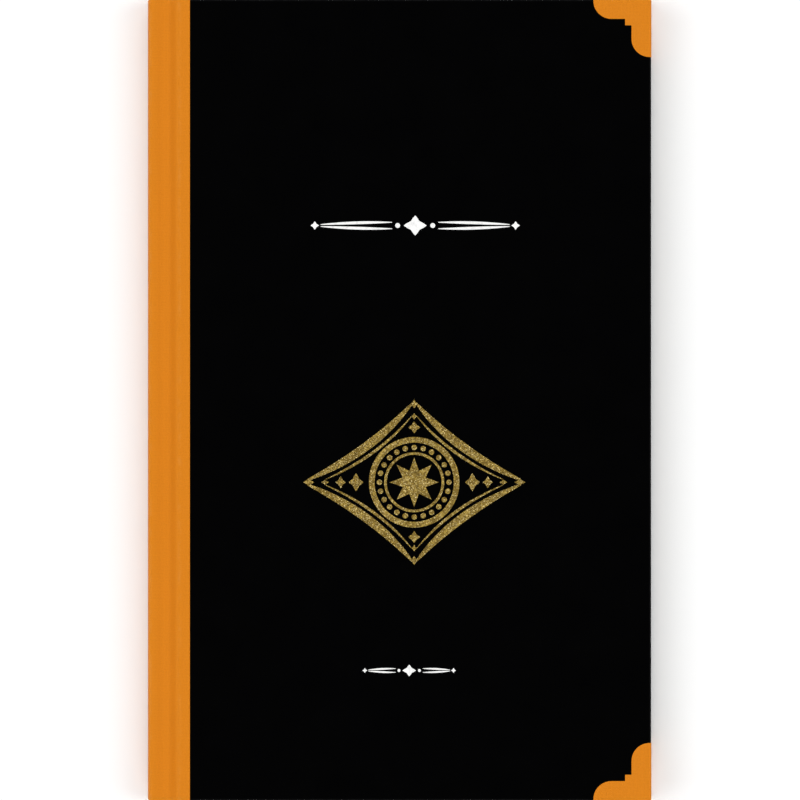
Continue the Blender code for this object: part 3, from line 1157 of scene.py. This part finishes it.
def medallionShapes(s):
    # Two lozenges of tapered strokes with a small lozenge at each tip, round rings, beads and a star.
    shapes = [ring(*values) for values in s["rings"]]
    radius, size, count = s["beads"]
    shapes += [dot(place, size) for place in onCircle(radius, roundTheCircle(count))]
    shapes.append(star((0, 0), *s["star"]))
    pull = 0.5 - s["pull"] * 0.5
    for share, width in s["strokes"]:
        across = s["halfWidth"] * share - s["strokeRoom"][0]
        up = s["halfHeight"] * share - s["strokeRoom"][1]
        tip = s["tipSize"][0] + s["tipSize"][1] * width
        for sign in (-1, 1):
            sideways, upwards = sign * (across + s["tipShift"][0]), sign * (up + s["tipShift"][1])
            shapes.append(lozenge((sideways, 0), s["tipStretch"][0] * tip, tip))
            shapes.append(lozenge((0, upwards), tip, s["tipStretch"][1] * tip))
        for signs in ((-1, -1), (-1, 1), (1, -1), (1, 1)):
            start, end = (across, s["strokeGap"]), (s["strokeGap"], up)
            corners = (start, (across * pull, up * pull), end)
            shapes.append(taperedStroke(*(np.multiply(signs, corner) for corner in corners), width))
    for sign in (-1, 1):
        shapes += [lozenge((sign * away, 0), wide, high) for away, wide, high in s["sideLozenges"]]
        shapes += [lozenge((0, sign * away), wide, high) for away, wide, high in s["endLozenges"]]
    return shapes


dividerSettings = {
    "upper": {"centre": (4.8, 52.2), "halfWidth": 31.3, "halfHeight": 3.0, "line": 0.42, "dot": 0.75},
    "lower": {"centre": (3.0, -80.9), "halfWidth": 14.0, "halfHeight": 1.75, "line": 0.26, "dot": 0.45},
}

dividerShares = {  # all of the half height
    "middle": 1.15,
    "dotPlace": 1.75,
    "ruleStart": 2.3,
    "ruleLift": 0.32,
    "endLozenge": 0.42,
}
liftLeft = 0.3  # share of a rule's lift that is left at its outer end


def dividerShapes(s):
    # A lozenge between two dots and two tapered rules that end in small lozenges.
    wide, high = s["halfWidth"], s["halfHeight"]
    middle, dotPlace, ruleStart, ruleLift, small = (high * share for share in dividerShares.values())
    shapes = [lozenge((0, 0), middle, high)]
    for sign in (-1, 1):
        shapes.append(dot((sign * dotPlace, 0), s["dot"]))
        start, end = np.array([sign * ruleStart, 0]), np.array([sign * (wide - high), 0])
        for lift in (-ruleLift, ruleLift):
            shift = np.array([0, lift])
            bend = (start + end) / 2 + shift
            shapes.append(taperedStroke(start + shift, bend, end + shift * liftLeft, s["line"]))
        shapes.append(lozenge((sign * (wide - small), 0), small, small))
    return shapes


medallion = medallionShapes(medallionSettings)
makeStamp("medallion", medallion, medallionSettings["centre"], goldFoil, "gold_foil")
for name, settings in dividerSettings.items():
    makeStamp(name + "Divider", dividerShapes(settings), settings["centre"], whitePrint, "white_print")
print("ornaments made")


# Floor, lights and camera

floorSettings = {
    "colour": (0.93, 0.93, 0.93),
    "roughness": 0.9,
    "gloss": 0.1,
    "half": 6000.0,
    "level": -0.02,
}


def makeFloor(s):
    corners = raised(s["half"] * np.array([(-1, -1), (1, -1), (1, 1), (-1, 1)]), s["level"])
    mesh = bpy.data.meshes.new("floor")
    mesh.from_pydata((corners * mm).tolist(), [], [(0, 1, 2, 3)])
    mesh.materials.append(makeMaterial("studioFloor", s))
    newObject("floor", mesh)


lightSettings = {
    "softness": 42.0,  # degrees that each light takes up in the sky
    "lights": (  # direction to the light, and strength
        ((-1.0, 0.0, 1.0), 1.3),
        ((1.0, 0.0, 1.0), 1.1),
        ((0.0, 1.0, 1.0), 1.15),
        ((0.0, -1.0, 1.0), 1.15),
    ),
}


def makeLights(s):
    # Broad lights from the four sides, the same all over the floor.
    for number, (towards, strength) in enumerate(s["lights"]):
        name = f"softLight{number}"
        lamp = bpy.data.lights.new(name, "SUN")
        lamp.angle = np.radians(s["softness"])
        lamp.energy = strength
        holder = newObject(name, lamp)
        holder.location = towards
        holder.rotation_euler = (-Vector(towards)).to_track_quat("-Z", "Y").to_euler()


skySettings = {
    "horizon": (1.0, 1.0, 1.0),
    "overhead": (0.07, 0.07, 0.07),
    "dimFrom": 0.3,  # sine of the height above the horizon
}


def makeSky(s):
    # Pale at the horizon and dim overhead, where a black cover would mirror it to the camera.
    world = bpy.data.worlds.new("studio")
    bpy.context.scene.world = world
    world.use_nodes = True
    tree = world.node_tree
    direction = addNode(tree, "ShaderNodeTexCoord").outputs["Generated"]
    rise = rescale(tree, splitAxes(tree, direction)["Z"], 0.0, s["dimFrom"])
    background = tree.nodes["Background"].inputs
    feed(tree, background["Color"], mixColour(tree, rise, s["horizon"], s["overhead"]))
    background["Strength"].default_value = 1.0


cameraSettings = {
    "lens": 200.0,
    "sensor": 36.0,
    "coverMiddle": 399.15,  # the cover's middle across the photograph, in pixels
    "coverHeight": 802.4,  # the cover's height there, in pixels
    "frameWidth": 800.0,
}


def makeCamera(s):
    # Straight above the cover, so far up that its height fills the picture's.
    pixel = (boardHigh[1] - boardLow[1]) / s["coverHeight"]
    distance = pixel * s["frameWidth"] * s["lens"] / s["sensor"]
    x = (spineX + boardHigh[0]) / 2 + (s["frameWidth"] / 2 - s["coverMiddle"]) * pixel
    camera = newObject("camera", bpy.data.cameras.new("camera"))
    camera.data.lens = s["lens"]
    camera.data.sensor_width = s["sensor"]
    camera.location = (x * mm, 0.0, (bookTop + distance) * mm)
    bpy.context.scene.camera = camera


makeFloor(floorSettings)
makeLights(lightSettings)
makeSky(skySettings)
makeCamera(cameraSettings)
bpy.context.scene.view_settings.view_transform = "Standard"  # colours show as they are mixed
print("studio made")
